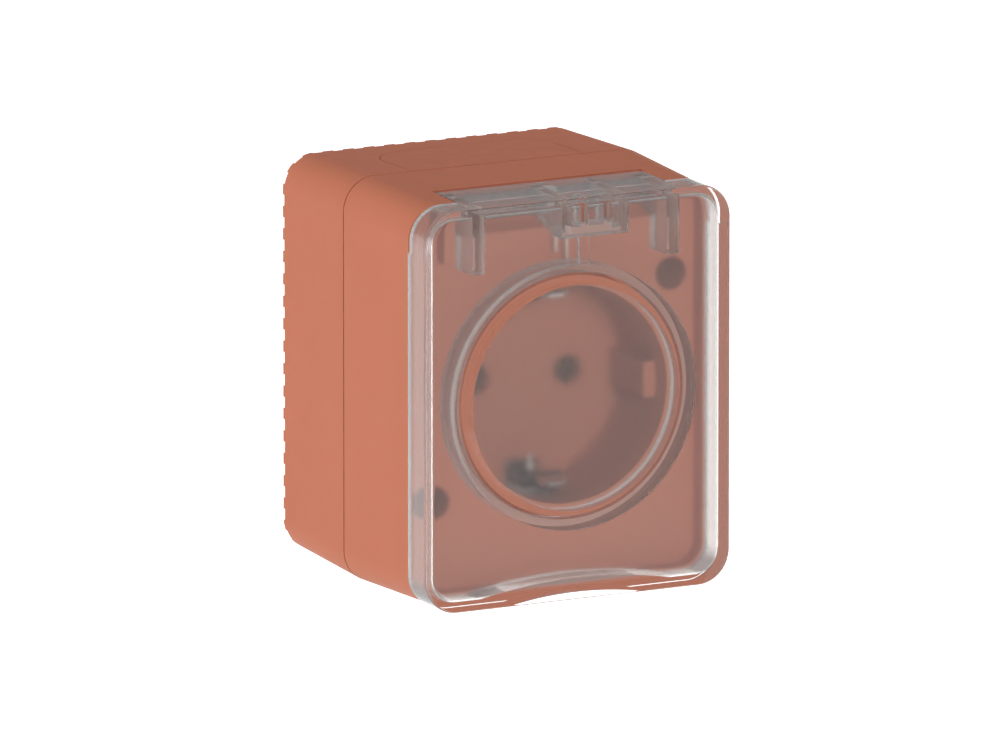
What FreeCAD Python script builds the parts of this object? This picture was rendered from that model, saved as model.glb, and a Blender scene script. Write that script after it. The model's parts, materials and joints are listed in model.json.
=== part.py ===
import FreeCAD, Part
import math
import os
import Sketcher
from FreeCAD import Rotation, Vector

# Surface-mounted outdoor socket with an earthed round well and a sprung clear lid, in millimetres.
# The wall is the plane Y = 0, the socket's axis is the Y axis, the front faces -Y and +Z is up.
# "Depth" is the distance from the wall, so a depth of 30 lies at Y = -30.

SIZES = {
    # housing
    "box_width": 63.2,
    "box_height": 75.8,
    "corner_radius": 6.3,
    "back_depth": 26.1,
    "cover_depth": 24.8,
    "box_flare": 0.75,
    "cover_taper": 0.7,
    "shell_wall": 2.4,
    "back_wall": 2.2,
    "seam_width": 0.3,
    "seam_reach": 0.5,
    # toothed rear rim
    "notch_pitch": 4.235,
    "notch_shift": 0.66,
    "notch_width": 2.15,
    "notch_depth": 0.65,
    "notch_reach": 1.5,
    # gasket in the seam
    "gasket_inset": 0.8,
    "gasket_width": 0.9,
    "gasket_depth": 1.3,
    "gasket_play": 0.05,
    # cable entry panels in the top and bottom walls
    "entry_width": 35.0,
    "entry_start": 7.0,
    "entry_radius": 8.0,
    "entry_play": 0.15,
    "entry_flange": 1.4,
    "entry_flange_thickness": 1.0,
    "entry_membrane": 0.8,
    "entry_membrane_radius": 7.0,
    # holes for the wall screws and the thin disc for a cable from behind
    "wall_hole_radius": 2.25,
    "wall_hole_spread_x": 36.0,
    "wall_hole_spread_z": 54.0,
    "rear_entry_radius": 8.0,
    "rear_entry_height": 12.0,
    "rear_entry_membrane": 0.8,
    # two cover screws, at the upper right and lower left, and their towers
    "screw_x": 24.2,
    "screw_z": 19.0,
    "tower_radius": 5.2,
    "screw_well_radius": 3.1,
    "screw_seat": 4.0,
    "screw_radius": 1.45,
    "screw_play": 0.25,
    "screw_head_radius": 2.8,
    "screw_head_height": 2.2,
    "screw_bite": 12.0,
    "screw_slot": 0.8,
    "screw_tip_gap": 1.0,
    "pilot_play": 0.02,
    "washer_thickness": 1.0,
    "tower_gap": 0.1,
    # front plate, tray and collar
    "tray_depth": 3.5,
    "rim_wall": 2.0,
    "plate_wall": 2.2,
    "well_radius": 20.3,
    "well_depth": 18.5,
    "collar_height": 6.0,
    "collar_edge": 2.05,
    "collar_spread": 0.3,
    "collar_lip": 3.0,
    # socket cup
    "cup_wall": 1.2,
    "cup_play": 0.1,
    "cup_floor": 3.0,
    "guide_rise": 2.4,
    "guide_width": 6.6,
    "guide_length": 14.0,
    "pin_pitch": 19.0,
    "pin_hole_radius": 2.8,
    "ear_thickness": 2.0,
    "ear_width": 6.2,
    "boss_radius": 3.2,
    "small_screw_radius": 1.2,
    "small_head_radius": 2.4,
    "small_head_height": 1.6,
    "small_screw_bite": 6.0,
    "slot_width": 6.8,
    "slot_inner": 15.6,
    "slot_reach": 13.1,
    # contact base
    "base_width": 48.0,
    "base_height": 26.0,
    "base_thickness": 12.0,
    "base_radius": 3.0,
    "base_wall": 2.2,
    "base_screw_x": 19.2,
    # line contacts
    "sleeve_bore": 2.45,
    "sleeve_wall": 0.6,
    "sleeve_length": 8.4,
    "sleeve_slit": 0.9,
    "sleeve_play": 0.35,
    "tail_width": 4.0,
    "tail_length": 4.4,
    # terminal clamps
    "clamp_width": 6.8,
    "clamp_height": 6.0,
    "clamp_length": 7.0,
    "clamp_play": 0.2,
    "clamp_drop": 5.2,
    "wire_radius": 1.7,
    "clamp_screw_radius": 1.45,
    "clamp_head_radius": 2.0,
    "clamp_head_height": 1.4,
    # earth strap with its two clips
    "strap_thickness": 0.8,
    "strap_width": 5.5,
    "strap_height": 18.8,
    "clip_bow": 2.4,
    "clip_start": 9.6,
    "clip_peak": 13.1,
    "clip_end": 16.8,
    "clip_flare": 1.1,
    "clip_tip_radius": 0.65,
    "clip_tip_width": 3.0,
    "strap_tail": 5.0,
    # lid
    "lid_gap": 0.15,
    "lid_depth": 7.55,
    "lid_overhang": 0.1,
    "lid_panel": 1.65,
    "lid_wall": 1.7,
    "lid_edge_round": 0.3,
    "lid_inner_radius": 4.6,
    "lid_inner_round": 0.8,
    "lid_step": 0.7,
    "lid_step_height": 28.8,
    "ring_inner": 21.0,
    "ring_outer": 24.6,
    "ring_gap": 0.15,
    "skirt_inner": 22.9,
    "skirt_depth": 6.4,
    "scoop_chord": 26.0,
    "scoop_rise": 1.15,
    "arch_chord": 40.0,
    "arch_rise": 2.1,
    # hinge
    "hinge_setback": 5.9,
    "hinge_drop": 2.6,
    "hinge_half_width": 21.1,
    "hinge_play": 0.3,
    "plate_thickness": 1.2,
    "tail_reach": 4.02,
    "tail_play": 0.42,
    "arm_thickness": 2.6,
    "arm_foot": 24.8,
    "arm_depth": 6.6,
    "knuckle_radius": 1.9,
    "pin_radius": 0.8,
    "pin_play": 0.06,
    "pin_seat": 1.7,
    "pin_hole_play": 0.02,
    "cheek_thickness": 2.2,
    "cheek_foot": 26.0,
    "cheek_setback": 0.5,
    "hinge_wall": 1.8,
    "plate_notch": 1.5,
    "plate_notch_length": 1.6,
    # block of ribs in the middle of the hinge
    "block_left": -2.85,
    "block_right": 10.7,
    "block_foot": 29.75,
    "block_bar": 2.0,
    "bar_one": 1.05,
    "bar_two": 5.6,
    "bar_width": 1.6,
    "bar_depth": 3.2,
    "block_depth": 4.6,
    "link_left": 0.65,
    "link_width": 2.05,
    "link_depth": 0.9,
    # torsion spring
    "spring_wire": 0.25,
    "spring_coil": 1.1,
    "spring_start": -0.5,
    "spring_turns": 4.0,
    "spring_pitch": 0.56,
    "spring_foot_left": 25.8,
    "spring_foot_right": 24.2,
    "spring_leg_forward": 4.6,
}

doc = FreeCAD.newDocument("outdoor_socket")
sheet = doc.addObject("Spreadsheet::Sheet", "Sizes")
for row, (alias, size) in enumerate(SIZES.items(), 1):
    sheet.set(f"A{row}", alias)
    sheet.set(f"B{row}", str(size))
    sheet.setAlias(f"B{row}", alias)
doc.recompute()


def number(text):
    """The value in millimetres of an expression on the sheet."""
    return float(sheet.evalExpression(text))


# Depths and heights that several pieces share
SEAM = "Sizes.back_depth"
RIM = "(Sizes.back_depth + Sizes.cover_depth)"
PLATE = f"({RIM} - Sizes.tray_depth)"
PLATE_BACK = f"({PLATE} - Sizes.plate_wall)"
COLLAR = f"({PLATE} + Sizes.collar_height)"
CUP_FRONT = f"({COLLAR} - Sizes.collar_lip)"
WELL_FLOOR = f"({COLLAR} - Sizes.well_depth)"
CUP_BACK = f"({WELL_FLOOR} - Sizes.cup_floor)"
EAR_FRONT = f"({CUP_BACK} + Sizes.ear_thickness)"
BASE_BACK = f"({CUP_BACK} - Sizes.base_thickness)"
SCREW_SEAT = f"({SEAM} + Sizes.screw_seat)"
LID_REAR = f"({RIM} + Sizes.lid_gap)"
LID_FRONT = f"({RIM} + Sizes.lid_depth)"
LID_INNER = f"({LID_FRONT} - Sizes.lid_panel)"
AXIS_DEPTH = f"({RIM} - Sizes.hinge_setback)"
SEAM_X = "(Sizes.box_width / 2)"
SEAM_Z = "(Sizes.box_height / 2)"
WALL_X = f"({SEAM_X} - Sizes.box_flare)"
WALL_Z = f"({SEAM_Z} - Sizes.box_flare)"
FRONT_X = f"({SEAM_X} - Sizes.cover_taper)"
FRONT_Z = f"({SEAM_Z} - Sizes.cover_taper)"
LID_X = f"({FRONT_X} + Sizes.lid_overhang)"
LID_Z = f"({FRONT_Z} + Sizes.lid_overhang)"
CORNER = "Sizes.corner_radius"
AXIS_Z = f"({FRONT_Z} - Sizes.hinge_drop)"
CUP_RADIUS = "(Sizes.well_radius + Sizes.cup_wall)"
RECESS_X = "(Sizes.hinge_half_width + Sizes.hinge_play)"
RECESS_RADIUS = "(Sizes.tail_reach + Sizes.tail_play)"
PIN_X = "(Sizes.pin_pitch / 2)"
# how far a cutter runs past the face it opens, and a rib's foot into the wall that carries it
OVER = "1"
ROOT = "0.3"


# Sketch and feature helpers
def new_body(name):
    body = doc.addObject("PartDesign::Body", name)
    body.Label = name
    return body


def new_sketch(body, role, start="0"):
    """A sketch on one of the body's origin planes, moved along the plane's normal by start."""
    sketch = body.newObject("Sketcher::SketchObject", f"{body.Name}_sketch")
    plane = next(item for item in body.Origin.OriginFeatures if item.Role == role)
    sketch.AttachmentSupport = [(plane, "")]
    sketch.MapMode = "FlatFace"
    sketch.setExpression(".AttachmentOffset.Base.z", start)
    return sketch


def hold(sketch, kind, places, size):
    """Adds one dimension to a sketch and ties it to an expression."""
    index = sketch.addConstraint(Sketcher.Constraint(kind, *places, number(size)))
    sketch.setExpression(f"Constraints[{index}]", size)


def hold_point(sketch, geometry, point, across, up):
    hold(sketch, "DistanceX", (-1, 1, geometry, point), across)
    hold(sketch, "DistanceY", (-1, 1, geometry, point), up)


def draw_circle(sketch, radius, across="0", up="0"):
    centre = Vector(number(across), number(up), 0)
    circle = sketch.addGeometry(Part.Circle(centre, Vector(0, 0, 1), number(radius)), False)
    hold(sketch, "Radius", (circle,), radius)
    hold_point(sketch, circle, 3, across, up)


def draw_polygon(sketch, corners):
    points = [Vector(number(across), number(up), 0) for across, up in corners]
    first = sketch.GeometryCount
    count = len(points)
    for k in range(count):
        sketch.addGeometry(Part.LineSegment(points[k], points[(k + 1) % count]), False)
    for k, (across, up) in enumerate(corners):
        after = first + (k + 1) % count
        sketch.addConstraint(Sketcher.Constraint("Coincident", first + k, 2, after, 1))
        hold_point(sketch, first + k, 1, across, up)


def draw_rectangle(sketch, left, right, low, high):
    draw_polygon(sketch, [(left, low), (right, low), (right, high), (left, high)])


def draw_rounded(sketch, half_x, half_z, radius):
    """A rectangle with round corners, centred on the sketch's origin."""
    x, z, r = number(half_x), number(half_z), number(radius)
    first = sketch.GeometryCount
    lines = [
        (Vector(-x + r, -z, 0), Vector(x - r, -z, 0)),
        (Vector(x, -z + r, 0), Vector(x, z - r, 0)),
        (Vector(x - r, z, 0), Vector(-x + r, z, 0)),
        (Vector(-x, z - r, 0), Vector(-x, -z + r, 0)),
    ]
    for start, end in lines:
        sketch.addGeometry(Part.LineSegment(start, end), False)
    centres = [(x - r, -z + r), (x - r, z - r), (-x + r, z - r), (-x + r, -z + r)]
    for k, (cx, cz) in enumerate(centres):
        circle = Part.Circle(Vector(cx, cz, 0), Vector(0, 0, 1), r)
        turn = math.radians(90 * k - 90)
        arc = Part.ArcOfCircle(circle, turn, turn + math.pi / 2)
        sketch.addGeometry(arc, False)
    for k in range(4):
        arc = first + 4 + k
        sketch.addConstraint(Sketcher.Constraint("Tangent", first + k, 2, arc, 1))
        sketch.addConstraint(Sketcher.Constraint("Tangent", arc, 2, first + (k + 1) % 4, 1))
        kind = "Vertical" if k % 2 else "Horizontal"
        sketch.addConstraint(Sketcher.Constraint(kind, first + k))
    for k in range(1, 4):
        sketch.addConstraint(Sketcher.Constraint("Equal", first + 4, first + 4 + k))
    hold(sketch, "Radius", (first + 4,), radius)
    sketch.addConstraint(Sketcher.Constraint("Symmetric", first + 4, 3, first + 6, 3, -1, 1))
    hold(sketch, "DistanceX", (first + 6, 3, first + 4, 3), f"2 * ({half_x} - {radius})")
    hold(sketch, "DistanceY", (first + 4, 3, first + 6, 3), f"2 * ({half_z} - {radius})")


def add(body, sketch, length, both_ways=False):
    """A pad along the sketch's normal; both ways, length is the whole length."""
    pad = body.newObject("PartDesign::Pad", f"{body.Name}_pad")
    pad.Profile = sketch
    pad.setExpression("Length", length)
    pad.Midplane = both_ways
    return pad


def cut(body, sketch, length, both_ways=False, against=False):
    """A pocket along the sketch's normal, or against it, which has to take material away."""
    doc.recompute()
    before = body.Shape.Volume
    pocket = body.newObject("PartDesign::Pocket", f"{body.Name}_pocket")
    pocket.Profile = sketch
    pocket.setExpression("Length", length)
    pocket.Midplane = both_ways
    pocket.Reversed = not (both_ways or against)
    doc.recompute()
    if not body.Shape.Volume < before:
        raise ValueError(f"{pocket.Name} cuts nothing")
    return pocket


def loft(body, kind, sections):
    feature = body.newObject(f"PartDesign::{kind}Loft", f"{body.Name}_loft")
    feature.Profile = sections[0]
    feature.Sections = sections[1:]
    feature.Ruled = True
    return feature


def mirror_across_middle(body, features):
    """Repeats features on the other side of the plane X = 0."""
    mirrored = body.newObject("PartDesign::Mirrored", f"{body.Name}_mirrored")
    mirrored.Originals = features
    plane = next(item for item in body.Origin.OriginFeatures if item.Role == "YZ_Plane")
    mirrored.MirrorPlane = (plane, [""])
    body.Tip = mirrored
    return mirrored


def round_edges(body, feature, depth, radius):
    """Rounds every edge that lies in the plane at a depth from the wall."""
    doc.recompute()
    level = -number(depth)
    names = [
        f"Edge{k}"
        for k, edge in enumerate(feature.Shape.Edges, 1)
        if all(abs(vertex.Y - level) < 1e-4 for vertex in edge.Vertexes)
    ]
    fillet = body.newObject("PartDesign::Fillet", f"{body.Name}_fillet")
    fillet.Base = (feature, names)
    fillet.setExpression("Radius", radius)
    return fillet


def section(body, depth, half_x, half_z, radius):
    sketch = new_sketch(body, "XZ_Plane", depth)
    draw_rounded(sketch, half_x, half_z, radius)
    return sketch


def inset(half_x, half_z, radius, by):
    return f"({half_x} - {by})", f"({half_z} - {by})", f"({radius} - {by})"


def round_feature(body, action, start, end, radius, places=(("0", "0"),)):
    """Adds or cuts one cylinder along the socket's axis at each place."""
    sketch = new_sketch(body, "XZ_Plane", start)
    for across, up in places:
        draw_circle(sketch, radius, across, up)
    return action(body, sketch, f"{end} - {start}")


def square_feature(body, action, start, end, rectangles):
    """Adds or cuts one bar along the socket's axis for each (left, right, low, high)."""
    sketch = new_sketch(body, "XZ_Plane", start)
    for rectangle in rectangles:
        draw_rectangle(sketch, *rectangle)
    return action(body, sketch, f"{end} - {start}")


SCREW_PLACES = (("Sizes.screw_x", "Sizes.screw_z"), ("-Sizes.screw_x", "-Sizes.screw_z"))
BOSS_PLACES = (("-Sizes.screw_x", "Sizes.screw_z"), ("Sizes.screw_x", "-Sizes.screw_z"))


# Housing
def rim_notches():
    """The cutter for the gaps between the teeth, evenly spaced round the rear rim."""
    half_x, half_z, radius = number(WALL_X), number(WALL_Z), number(CORNER)
    straight_x = 2 * (half_x - radius)
    straight_z = 2 * (half_z - radius)
    quarter = math.pi * radius / 2
    around = 2 * (straight_x + straight_z) + 4 * quarter
    count = round(around / number("Sizes.notch_pitch"))
    start = (around + straight_z) / 2 + number("Sizes.notch_shift")
    reach = number("Sizes.notch_reach")
    width = number("Sizes.notch_width")
    depth = number("Sizes.notch_depth")
    past = number(OVER)
    sides = [straight_z, straight_x, straight_z, straight_x]
    corners = [(1, -1), (1, 1), (-1, 1), (-1, -1)]
    cutters = []
    for k in range(count):
        travelled = (start + k * around / count) % around
        side = 0
        while travelled > sides[side] + quarter:
            travelled -= sides[side] + quarter
            side += 1
        corner = corners[(side + 1) % 4]
        centre = Vector(corner[0] * (half_x - radius), 0, corner[1] * (half_z - radius))
        facing = 90 * side
        back = 0.0
        if travelled <= sides[side]:
            back = sides[side] - travelled
        else:
            facing += 90 * (travelled - sides[side]) / quarter
        turn = Rotation(Vector(0, 1, 0), -facing)
        corner_place = Vector(radius - reach, -depth, -width / 2 - back)
        block = Part.makeBox(2 * reach, depth + past, width, corner_place)
        block.rotate(Vector(0, 0, 0), turn.Axis, math.degrees(turn.Angle))
        block.translate(centre)
        cutters.append(block)
    feature = doc.addObject("Part::Feature", "rim_notches")
    feature.Shape = Part.makeCompound(cutters)
    return feature


def entry_outline(sketch, grow, front):
    """A U, open towards the seam, whose two rear corners are large arcs."""
    half = f"(Sizes.entry_width / 2 + {grow})"
    rear = f"(Sizes.entry_start - {grow})"
    radius = f"(Sizes.entry_radius + {grow})"
    x, y0, y1, r = number(half), -number(rear), -number(front), number(radius)
    lines = [
        (Vector(-x, y0 - r, 0), Vector(-x, y1, 0)),
        (Vector(-x, y1, 0), Vector(x, y1, 0)),
        (Vector(x, y1, 0), Vector(x, y0 - r, 0)),
        (Vector(x - r, y0, 0), Vector(-x + r, y0, 0)),
    ]
    for start, end in lines:
        sketch.addGeometry(Part.LineSegment(start, end), False)
    for centre, turn in ((x - r, 0.0), (-x + r, math.pi / 2)):
        circle = Part.Circle(Vector(centre, y0 - r, 0), Vector(0, 0, 1), r)
        sketch.addGeometry(Part.ArcOfCircle(circle, turn, turn + math.pi / 2), False)
    for a, b in (((0, 2), (1, 1)), ((1, 2), (2, 1))):
        sketch.addConstraint(Sketcher.Constraint("Coincident", *a, *b))
    for a, b in (((2, 2), (4, 1)), ((4, 2), (3, 1)), ((3, 2), (5, 1)), ((5, 2), (0, 1))):
        sketch.addConstraint(Sketcher.Constraint("Tangent", *a, *b))
    sketch.addConstraint(Sketcher.Constraint("Horizontal", 1))
    sketch.addConstraint(Sketcher.Constraint("Horizontal", 3))
    sketch.addConstraint(Sketcher.Constraint("Equal", 4, 5))
    hold(sketch, "Radius", (4,), radius)
    hold_point(sketch, 0, 2, f"-{half}", f"-{front}")
    hold(sketch, "DistanceX", (-1, 1, 1, 2), half)
    hold(sketch, "DistanceY", (-1, 1, 3, 1), f"-{rear}")


def make_back_box():
    body = new_body("back_box_moulding")
    loft(body, "Additive", [
        section(body, "0", WALL_X, WALL_Z, CORNER),
        section(body, SEAM, SEAM_X, SEAM_Z, CORNER),
    ])
    loft(body, "Subtractive", [
        section(body, "Sizes.back_wall", *inset(WALL_X, WALL_Z, CORNER, "Sizes.shell_wall")),
        section(body, SEAM, *inset(SEAM_X, SEAM_Z, CORNER, "Sizes.shell_wall")),
    ])
    pillar_top = f"({SEAM} - Sizes.tower_gap)"
    round_feature(body, add, f"(Sizes.back_wall - {ROOT})", pillar_top, "Sizes.tower_radius", SCREW_PLACES)
    pilot = "Sizes.screw_radius + Sizes.pilot_play"
    round_feature(body, cut, f"({SEAM} - Sizes.screw_bite)", f"({pillar_top} + {OVER})", pilot, SCREW_PLACES)
    groove = new_sketch(body, "XZ_Plane", f"({SEAM} - Sizes.gasket_depth)")
    draw_rounded(groove, *inset(SEAM_X, SEAM_Z, CORNER, "Sizes.gasket_inset"))
    draw_rounded(groove, *inset(
        SEAM_X, SEAM_Z, CORNER, "(Sizes.gasket_inset + Sizes.gasket_width)"))
    cut(body, groove, f"Sizes.gasket_depth + {OVER}")
    across, up = "Sizes.wall_hole_spread_x / 2", "Sizes.wall_hole_spread_z / 2"
    corners = [(f"{a}{across}", f"{b}{up}") for a in ("", "-") for b in ("", "-")]
    round_feature(body, cut, f"(-{OVER})", f"(Sizes.back_wall + {OVER})", "Sizes.wall_hole_radius", corners)
    round_feature(body, cut, "Sizes.rear_entry_membrane", f"(Sizes.back_wall + {OVER})",
                  "Sizes.rear_entry_radius", (("0", "Sizes.rear_entry_height"),))
    opening = new_sketch(body, "XY_Plane")
    entry_outline(opening, "Sizes.entry_play", f"({SEAM} + {OVER})")
    cut(body, opening, "2 * Sizes.box_height", both_ways=True)
    toothed = doc.addObject("Part::Cut", "back_box")
    toothed.Label = "back_box"
    toothed.Base = body
    toothed.Tool = rim_notches()
    return toothed


def make_cable_entries():
    """The panel in the top wall, tilted with the wall, and its mirror image in the bottom wall."""
    top = new_body("cable_entry_top")
    front = f"({SEAM} - Sizes.tower_gap)"
    panel = new_sketch(top, "XY_Plane", "-Sizes.shell_wall")
    entry_outline(panel, "0", front)
    add(top, panel, "Sizes.shell_wall")
    flange_back = "(Sizes.shell_wall + Sizes.entry_play + Sizes.entry_flange_thickness)"
    flange = new_sketch(top, "XY_Plane", f"-{flange_back}")
    entry_outline(flange, "Sizes.entry_flange", front)
    add(top, flange, "Sizes.entry_flange_thickness")
    neck = new_sketch(top, "XY_Plane", f"-(Sizes.shell_wall + Sizes.entry_play + {ROOT})")
    entry_outline(neck, "-Sizes.entry_play", front)
    add(top, neck, f"Sizes.entry_play + 2 * {ROOT}")
    thin = new_sketch(top, "XY_Plane", "-(2 * Sizes.shell_wall)")
    draw_circle(thin, "Sizes.entry_membrane_radius", "0", f"-({SEAM} + Sizes.entry_start) / 2")
    cut(top, thin, "2 * Sizes.shell_wall - Sizes.entry_membrane")
    groove = new_sketch(top, "XY_Plane", "-(Sizes.gasket_inset + Sizes.gasket_width + Sizes.entry_play)")
    draw_rectangle(groove, "-Sizes.box_width / 2", "Sizes.box_width / 2", f"-({SEAM} + {OVER})",
                   f"-({SEAM} - Sizes.gasket_depth - Sizes.entry_play)")
    cut(top, groove, "Sizes.gasket_width + 2 * Sizes.entry_play")
    top.Placement.Rotation = Rotation(Vector(-1, 0, 0), 1)
    top.setExpression(".Placement.Rotation.Angle", f"atan(Sizes.box_flare / {SEAM})")
    top.setExpression(".Placement.Base.z", WALL_Z)
    bottom = doc.addObject("Part::Mirroring", "cable_entry_bottom")
    bottom.Label = "cable_entry_bottom"
    bottom.Source = top
    bottom.Normal = Vector(0, 0, 1)
    return [top, bottom]


def make_box_gasket():
    body = new_body("box_gasket")
    sketch = new_sketch(body, "XZ_Plane", f"({SEAM} - Sizes.gasket_depth)")
    outer = "(Sizes.gasket_inset + Sizes.gasket_play)"
    inner = "(Sizes.gasket_inset + Sizes.gasket_width - Sizes.gasket_play)"
    draw_rounded(sketch, *inset(SEAM_X, SEAM_Z, CORNER, outer))
    draw_rounded(sketch, *inset(SEAM_X, SEAM_Z, CORNER, inner))
    add(body, sketch, "Sizes.gasket_depth")
    return body


def make_front_cover():
    body = new_body("front_cover")
    loft(body, "Additive", [
        section(body, SEAM, SEAM_X, SEAM_Z, CORNER),
        section(body, RIM, FRONT_X, FRONT_Z, CORNER),
    ])
    loft(body, "Subtractive", [
        section(body, SEAM, *inset(SEAM_X, SEAM_Z, CORNER, "Sizes.shell_wall")),
        section(body, PLATE_BACK, *inset(FRONT_X, FRONT_Z, CORNER, "Sizes.shell_wall")),
    ])
    tray = section(body, PLATE, *inset(FRONT_X, FRONT_Z, CORNER, "Sizes.rim_wall"))
    cut(body, tray, f"Sizes.tray_depth + {OVER}")
    round_feature(body, add, SEAM, PLATE, "Sizes.tower_radius", SCREW_PLACES)
    round_feature(body, add, EAR_FRONT, PLATE, "Sizes.boss_radius", BOSS_PLACES)
    # collar, a slightly conical ring that stands on the front plate
    collar = new_sketch(body, "YZ_Plane")
    base_radius = "(Sizes.well_radius + Sizes.collar_edge + Sizes.collar_spread)"
    inner = "(Sizes.well_radius - Sizes.collar_edge)"
    draw_polygon(collar, [
        (f"-{PLATE_BACK}", inner),
        (f"-{PLATE_BACK}", base_radius),
        (f"-{PLATE}", base_radius),
        (f"-{COLLAR}", "(Sizes.well_radius + Sizes.collar_edge)"),
        (f"-{COLLAR}", inner),
    ])
    ring = body.newObject("PartDesign::Revolution", "collar")
    ring.Profile = collar
    ring.ReferenceAxis = (collar, ["H_Axis"])
    ring.Angle = 360
    # housing of the hinge recess, behind the plate, and the two cheeks that carry the pin
    block = new_sketch(body, "YZ_Plane")
    draw_rectangle(block, f"-{PLATE}", f"-({AXIS_DEPTH} - {RECESS_RADIUS} - Sizes.hinge_wall)",
                   f"({AXIS_Z} - {RECESS_RADIUS} - Sizes.hinge_wall)", f"({FRONT_Z} - Sizes.rim_wall / 2)")
    add(body, block, f"2 * ({RECESS_X} + Sizes.cheek_thickness)", both_ways=True)
    cheek = new_sketch(body, "YZ_Plane", RECESS_X)
    draw_rectangle(cheek, f"-({RIM} - Sizes.cheek_setback)", f"-{PLATE_BACK}",
                   "Sizes.cheek_foot", f"({FRONT_Z} - Sizes.rim_wall / 2)")
    right = add(body, cheek, "Sizes.cheek_thickness")
    mirror_across_middle(body, [right])
    # everything cut from the front and from behind
    round_feature(body, cut, f"({EAR_FRONT} - {OVER})", f"({COLLAR} + {OVER})", "Sizes.well_radius")
    round_feature(body, cut, f"({EAR_FRONT} - {OVER})", CUP_FRONT, f"({CUP_RADIUS} + Sizes.cup_play)")
    round_feature(body, cut, SCREW_SEAT, f"({PLATE} + {OVER})", "Sizes.screw_well_radius", SCREW_PLACES)
    round_feature(body, cut, f"({SEAM} - {OVER})", f"({SCREW_SEAT} + {OVER})",
                  "(Sizes.screw_radius + Sizes.screw_play)", SCREW_PLACES)
    round_feature(body, cut, f"({EAR_FRONT} - {OVER})", f"({EAR_FRONT} + Sizes.small_screw_bite)",
                  "(Sizes.small_screw_radius + Sizes.pilot_play)", BOSS_PLACES)
    barrel = new_sketch(body, "YZ_Plane")
    draw_circle(barrel, RECESS_RADIUS, f"-{AXIS_DEPTH}", AXIS_Z)
    cut(body, barrel, f"2 * {RECESS_X}", both_ways=True)
    mouth = new_sketch(body, "YZ_Plane")
    draw_rectangle(mouth, f"-({RIM} + {OVER})", f"-{AXIS_DEPTH}",
                   f"({AXIS_Z} - {RECESS_RADIUS})", f"({SEAM_Z} + {OVER})")
    cut(body, mouth, f"2 * {RECESS_X}", both_ways=True)
    pin_hole = new_sketch(body, "YZ_Plane")
    draw_circle(pin_hole, "(Sizes.pin_radius + Sizes.pin_hole_play)", f"-{AXIS_DEPTH}", AXIS_Z)
    cut(body, pin_hole, f"2 * ({RECESS_X} + Sizes.pin_seat)", both_ways=True)
    # shadow gap round the seam
    gap = new_sketch(body, "XZ_Plane", SEAM)
    draw_rounded(gap, *inset(SEAM_X, SEAM_Z, CORNER, f"(-{OVER})"))
    draw_rounded(gap, *inset(SEAM_X, SEAM_Z, CORNER, "Sizes.seam_reach"))
    cut(body, gap, "Sizes.seam_width")
    return body


# Mechanism
def make_socket_cup():
    body = new_body("socket_cup")
    round_feature(body, add, CUP_BACK, CUP_FRONT, CUP_RADIUS)
    # diagonal ears that carry the cup on the cover's two bosses
    ears = new_sketch(body, "XZ_Plane", CUP_BACK)
    far = "(sqrt(Sizes.screw_x ^ 2 + Sizes.screw_z ^ 2))"
    along = f"(1 + Sizes.ear_width / 2 / {far})"
    half = "(Sizes.ear_width / 2)"
    off_x, off_z = f"({half} * Sizes.screw_z / {far})", f"({half} * Sizes.screw_x / {far})"
    x, z = f"(Sizes.screw_x * {along})", f"(Sizes.screw_z * {along})"
    draw_polygon(ears, [
        (f"-{x} - {off_x}", f"{z} - {off_z}"),
        (f"{x} - {off_x}", f"-{z} - {off_z}"),
        (f"{x} + {off_x}", f"-{z} + {off_z}"),
        (f"-{x} + {off_x}", f"{z} + {off_z}"),
    ])
    add(body, ears, "Sizes.ear_thickness")
    round_feature(body, cut, WELL_FLOOR, f"({CUP_FRONT} + {OVER})", "Sizes.well_radius")
    guide = new_sketch(body, "XZ_Plane", f"({WELL_FLOOR} - {ROOT})")
    draw_rectangle(guide, "(Sizes.well_radius - Sizes.guide_rise)", f"(Sizes.well_radius + {ROOT})",
                   "-Sizes.guide_width / 2", "Sizes.guide_width / 2")
    rib = add(body, guide, f"Sizes.guide_length + {ROOT}")
    mirror_across_middle(body, [rib])
    behind = f"({CUP_BACK} - {OVER})"
    both = ((PIN_X, "0"), (f"-{PIN_X}", "0"))
    round_feature(body, cut, behind, f"({WELL_FLOOR} + {OVER})", "Sizes.pin_hole_radius", both)
    edge = f"({CUP_RADIUS} + {OVER})"
    side = "Sizes.slot_width / 2"
    square_feature(body, cut, behind, f"({CUP_BACK} + Sizes.slot_reach)", [
        (f"-{side}", side, "Sizes.slot_inner", edge),
        (f"-{side}", side, f"-{edge}", "-Sizes.slot_inner"),
    ])
    round_feature(body, cut, behind, f"({EAR_FRONT} + {OVER})",
                  "(Sizes.small_screw_radius + Sizes.screw_play)", BOSS_PLACES)
    pilots = (("Sizes.base_screw_x", "0"), ("-Sizes.base_screw_x", "0"))
    round_feature(body, cut, behind, f"({CUP_BACK} + Sizes.small_screw_bite)",
                  "(Sizes.small_screw_radius + Sizes.pilot_play)", pilots)
    return body


CLAMP_REACH = "(Sizes.clamp_drop + Sizes.clamp_height)"
CLAMP_MIDDLE = "(Sizes.clamp_drop + Sizes.clamp_height / 2)"
CLAMP_BACK = f"({BASE_BACK} + Sizes.base_wall + Sizes.clamp_play)"
CLAMP_WIRE = f"(-({CLAMP_BACK} + Sizes.clamp_length / 2))"
CLAMPS = {"live": (f"-{PIN_X}", "-"), "neutral": (PIN_X, "-"), "earth": ("0", "")}


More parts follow.
